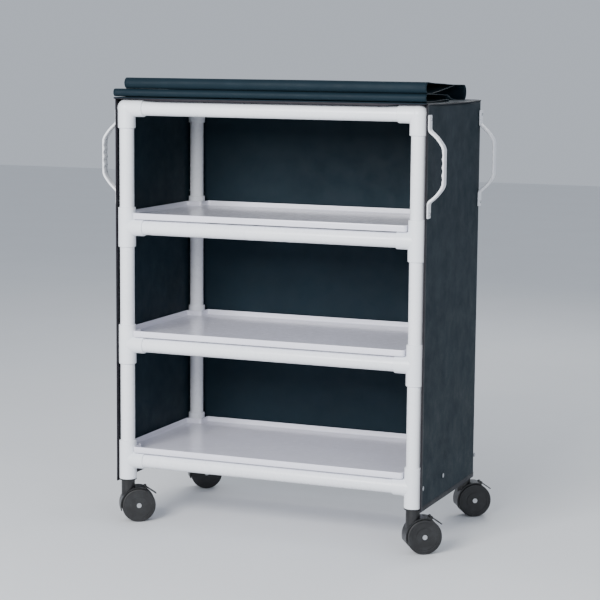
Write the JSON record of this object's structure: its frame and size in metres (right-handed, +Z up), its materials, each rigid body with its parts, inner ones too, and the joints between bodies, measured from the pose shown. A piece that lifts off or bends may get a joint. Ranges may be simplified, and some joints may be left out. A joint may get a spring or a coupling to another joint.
{
  "type": "covered linen trolley",
  "caption": "Covered linen trolley: pipe frame on swivel casters, open trays for folded linen, a fabric cover and a front flap that folds on top.",
  "frame": {"origin": "on the floor, under the middle of the whole trolley's box", "axes": "+X to the trolley's right, +Y to its back, +Z up; the open side with the flap faces -Y"},
  "size_m": [1.051, 0.5684, 1.2865],
  "materials": {
    "pipe": "smooth white PVC pipe, satin gloss",
    "fitting": "moulded white PVC, satin gloss",
    "tray": "glossy white formed plastic sheet",
    "cover_fabric": "dark green coated fabric with a fine weave and a soft sheen",
    "snap": "plated snap caps",
    "steel": "zinc-plated steel",
    "handle": "moulded white plastic, satin",
    "wheel": "black tread and disc, dull",
    "caster_body": "black moulded nylon"
  },
  "bodies": {
    "frame": {"post_front_left": "pipe", "post_front_right": "pipe", "post_back_left": "pipe", "post_back_right": "pipe", "elbow_front_left": "fitting", "elbow_front_right": "fitting", "elbow_back_left": "fitting", "elbow_back_right": "fitting", "tees_front_left": "fitting", "tees_front_right": "fitting", "tees_back_left": "fitting", "tees_back_right": "fitting", "rail_front_lower": "pipe", "rail_front_middle": "pipe", "rail_front_upper": "pipe", "rail_front_top": "pipe", "rails_back": "pipe", "rails_left": "pipe", "rails_right": "pipe", "shelf_lower": "tray", "shelf_middle": "tray", "shelf_upper": "tray", "cover_top": "cover_fabric", "cover_left": "cover_fabric", "cover_right": "cover_fabric", "cover_back": "cover_fabric", "cover_snaps": "snap", "handle_front_left": "handle", "handle_front_right": "handle", "handle_back_left": "handle", "handle_back_right": "handle", "handle_screws": "steel", "caster_plugs": "caster_body", "caster_stems": "steel"},
    "caster_front_left_swivel": {"caster_front_left_housing": "caster_body", "caster_front_left_axle": "steel"},
    "caster_front_left_wheel_left": {"caster_front_left_wheel_left": "wheel"},
    "caster_front_left_wheel_right": {"caster_front_left_wheel_right": "wheel"},
    "caster_front_left_brake": {"caster_front_left_brake": "caster_body"},
    "caster_front_right_swivel": {"caster_front_right_housing": "caster_body", "caster_front_right_axle": "steel"},
    "caster_front_right_wheel_left": {"caster_front_right_wheel_left": "wheel"},
    "caster_front_right_wheel_right": {"caster_front_right_wheel_right": "wheel"},
    "caster_front_right_brake": {"caster_front_right_brake": "caster_body"},
    "caster_back_left_swivel": {"caster_back_left_housing": "caster_body", "caster_back_left_axle": "steel"},
    "caster_back_left_wheel_left": {"caster_back_left_wheel_left": "wheel"},
    "caster_back_left_wheel_right": {"caster_back_left_wheel_right": "wheel"},
    "caster_back_left_brake": {"caster_back_left_brake": "caster_body"},
    "caster_back_right_swivel": {"caster_back_right_housing": "caster_body", "caster_back_right_axle": "steel"},
    "caster_back_right_wheel_left": {"caster_back_right_wheel_left": "wheel"},
    "caster_back_right_wheel_right": {"caster_back_right_wheel_right": "wheel"},
    "caster_back_right_brake": {"caster_back_right_brake": "caster_body"},
    "flap_1": {"flap_1": "cover_fabric"},
    "flap_2": {"flap_2": "cover_fabric"},
    "flap_3": {"flap_3": "cover_fabric"},
    "flap_4": {"flap_4": "cover_fabric"}
  },
  "joints": [
    {"name": "caster_front_left_swivel_turn", "type": "hinge", "parent": "frame", "child": "caster_front_left_swivel", "pos_m": [-0.4475, -0.2505, 0.1], "axis": [0, 0, 1], "continuous": true},
    {"name": "caster_front_left_wheel_left_spin", "type": "hinge", "parent": "caster_front_left_swivel", "child": "caster_front_left_wheel_left", "pos_m": [-0.42234, -0.23416, 0.05], "axis": [-0.5446, 0.8387, 0], "continuous": true},
    {"name": "caster_front_left_wheel_right_spin", "type": "hinge", "parent": "caster_front_left_swivel", "child": "caster_front_left_wheel_right", "pos_m": [-0.42234, -0.23416, 0.05], "axis": [-0.5446, 0.8387, 0], "continuous": true},
    {"name": "caster_front_left_brake_lift", "type": "hinge", "parent": "caster_front_left_swivel", "child": "caster_front_left_brake", "pos_m": [-0.40459, -0.22263, 0.10239], "axis": [0.5446, -0.8387, 0], "range_deg": [0, 22]},
    {"name": "caster_front_right_swivel_turn", "type": "hinge", "parent": "frame", "child": "caster_front_right_swivel", "pos_m": [0.4475, -0.2505, 0.1], "axis": [0, 0, 1], "continuous": true},
    {"name": "caster_front_right_wheel_left_spin", "type": "hinge", "parent": "caster_front_right_swivel", "child": "caster_front_right_wheel_left", "pos_m": [0.47266, -0.23416, 0.05], "axis": [-0.5446, 0.8387, 0], "continuous": true},
    {"name": "caster_front_right_wheel_right_spin", "type": "hinge", "parent": "caster_front_right_swivel", "child": "caster_front_right_wheel_right", "pos_m": [0.47266, -0.23416, 0.05], "axis": [-0.5446, 0.8387, 0], "continuous": true},
    {"name": "caster_front_right_brake_lift", "type": "hinge", "parent": "caster_front_right_swivel", "child": "caster_front_right_brake", "pos_m": [0.49041, -0.22263, 0.10239], "axis": [0.5446, -0.8387, 0], "range_deg": [0, 22]},
    {"name": "caster_back_left_swivel_turn", "type": "hinge", "parent": "frame", "child": "caster_back_left_swivel", "pos_m": [-0.4475, 0.2205, 0.1], "axis": [0, 0, 1], "continuous": true},
    {"name": "caster_back_left_wheel_left_spin", "type": "hinge", "parent": "caster_back_left_swivel", "child": "caster_back_left_wheel_left", "pos_m": [-0.42234, 0.23684, 0.05], "axis": [-0.5446, 0.8387, 0], "continuous": true},
    {"name": "caster_back_left_wheel_right_spin", "type": "hinge", "parent": "caster_back_left_swivel", "child": "caster_back_left_wheel_right", "pos_m": [-0.42234, 0.23684, 0.05], "axis": [-0.5446, 0.8387, 0], "continuous": true},
    {"name": "caster_back_left_brake_lift", "type": "hinge", "parent": "caster_back_left_swivel", "child": "caster_back_left_brake", "pos_m": [-0.40459, 0.24837, 0.10239], "axis": [0.5446, -0.8387, 0], "range_deg": [0, 22]},
    {"name": "caster_back_right_swivel_turn", "type": "hinge", "parent": "frame", "child": "caster_back_right_swivel", "pos_m": [0.4475, 0.2205, 0.1], "axis": [0, 0, 1], "continuous": true},
    {"name": "caster_back_right_wheel_left_spin", "type": "hinge", "parent": "caster_back_right_swivel", "child": "caster_back_right_wheel_left", "pos_m": [0.47266, 0.23684, 0.05], "axis": [-0.5446, 0.8387, 0], "continuous": true},
    {"name": "caster_back_right_wheel_right_spin", "type": "hinge", "parent": "caster_back_right_swivel", "child": "caster_back_right_wheel_right", "pos_m": [0.47266, 0.23684, 0.05], "axis": [-0.5446, 0.8387, 0], "continuous": true},
    {"name": "caster_back_right_brake_lift", "type": "hinge", "parent": "caster_back_right_swivel", "child": "caster_back_right_brake", "pos_m": [0.49041, 0.24837, 0.10239], "axis": [0.5446, -0.8387, 0], "range_deg": [0, 22]},
    {"name": "flap_1_hinge", "type": "hinge", "parent": "frame", "child": "flap_1", "pos_m": [0, -0.2845, 1.2545], "axis": [1, 0, 0], "range_deg": [0, 270]},
    {"name": "flap_2_fold", "type": "hinge", "parent": "flap_1", "child": "flap_2", "pos_m": [0, -0.0795, 1.26], "axis": [1, 0, 0], "range_deg": [-180, 0]},
    {"name": "flap_3_fold", "type": "hinge", "parent": "flap_2", "child": "flap_3", "pos_m": [0, -0.2765, 1.2725], "axis": [1, 0, 0], "range_deg": [0, 180]},
    {"name": "flap_4_fold", "type": "hinge", "parent": "flap_3", "child": "flap_4", "pos_m": [0, 0.0905, 1.2835], "axis": [1, 0, 0], "range_deg": [-180, 0]}
  ],
  "couplings": [
    {"joint": "flap_2_fold", "follows": "flap_1_hinge", "ratio": -0.66667},
    {"joint": "flap_3_fold", "follows": "flap_1_hinge", "ratio": 0.66667},
    {"joint": "flap_4_fold", "follows": "flap_1_hinge", "ratio": -0.66667}
  ]
}
